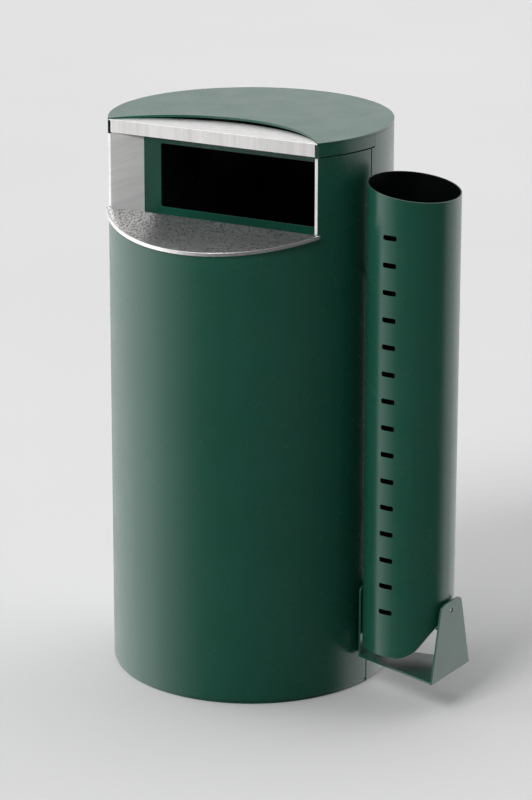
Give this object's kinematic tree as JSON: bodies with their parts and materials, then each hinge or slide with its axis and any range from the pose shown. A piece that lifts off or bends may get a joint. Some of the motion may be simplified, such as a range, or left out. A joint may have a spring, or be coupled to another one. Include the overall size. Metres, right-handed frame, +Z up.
{
  "type": "litter bin",
  "caption": "Round steel street litter bin with a swing door, sloping sill, flat lid, lift-out liner and a separate tilting can tube on its side.",
  "frame": {"origin": "on the ground at the round body's axis, the centre of the base plate's underside", "axes": "+Z up, the opening and door face -Y, the can tube stands on the +X side"},
  "size_m": [0.6979, 0.505, 1],
  "materials": {
    "green_paint": "dark green semi-gloss powder coat",
    "stainless": "brushed stainless steel",
    "zinc_steel": "zinc-plated steel",
    "galvanised": "hot-dip galvanised steel sheet",
    "brass": "turned brass",
    "nylon": "black nylon"
  },
  "bodies": {
    "housing": {"rear_shell": "green_paint", "top_plate": "green_paint", "skirt_left": "green_paint", "skirt_right": "green_paint", "roof_lip": "stainless", "roof_crossbar": "green_paint", "base_plate": "zinc_steel", "base_ring": "green_paint", "jamb_left": "green_paint", "jamb_right": "green_paint", "hinge_body_lower": "green_paint", "hinge_body_upper": "green_paint", "hinge_pin_lower": "stainless", "hinge_pin_upper": "stainless", "hinge_washer_lower": "brass", "hinge_washer_upper": "brass", "keeper_stud": "zinc_steel", "tube_saddle": "green_paint", "tube_bracket": "green_paint", "bracket_bolt_lower": "stainless", "bracket_bolt_upper": "stainless", "bracket_nut_lower": "stainless", "bracket_nut_upper": "stainless", "catch_clip": "nylon", "liner": "galvanised", "liner_ear_left": "galvanised", "liner_ear_right": "galvanised"},
    "door": {"door_shell": "green_paint", "door_hem": "green_paint", "sill": "stainless", "cheek_left": "stainless", "cheek_right": "stainless", "inner_frame": "green_paint", "hinge_door_lower": "green_paint", "hinge_door_upper": "green_paint", "lock_barrel": "zinc_steel", "lock_nut": "zinc_steel"},
    "lock_rotor": {"lock_plug": "brass", "hook_cam": "zinc_steel", "cam_screw": "zinc_steel"},
    "can_tube": {"tube": "green_paint", "tube_floor": "green_paint", "pivot_screw_inner": "zinc_steel", "pivot_screw_outer": "zinc_steel", "pivot_washer_inner": "nylon", "pivot_washer_outer": "nylon", "catch_stud": "zinc_steel"},
    "bail": {"liner_handle": "galvanised"}
  },
  "joints": [
    {"name": "door_swing", "type": "hinge", "parent": "housing", "child": "door", "pos_m": [-0.25711, -0.02476, 0.5], "axis": [0, 0, -1], "range_deg": [0, 110]},
    {"name": "lock_turn", "type": "hinge", "parent": "door", "child": "lock_rotor", "pos_m": [0.2037, -0.055, 0.89], "axis": [-1, 0, 0], "range_deg": [0, 80]},
    {"name": "tube_tilt", "type": "hinge", "parent": "housing", "child": "can_tube", "pos_m": [0.3412, -0.04351, 0.178], "axis": [0.9972, -0.075, 0], "range_deg": [0, 90]},
    {"name": "handle_swing", "type": "hinge", "parent": "housing", "child": "bail", "pos_m": [0, 0, 0.7089], "axis": [1, 0, 0], "range_deg": [0, 85]}
  ]
}
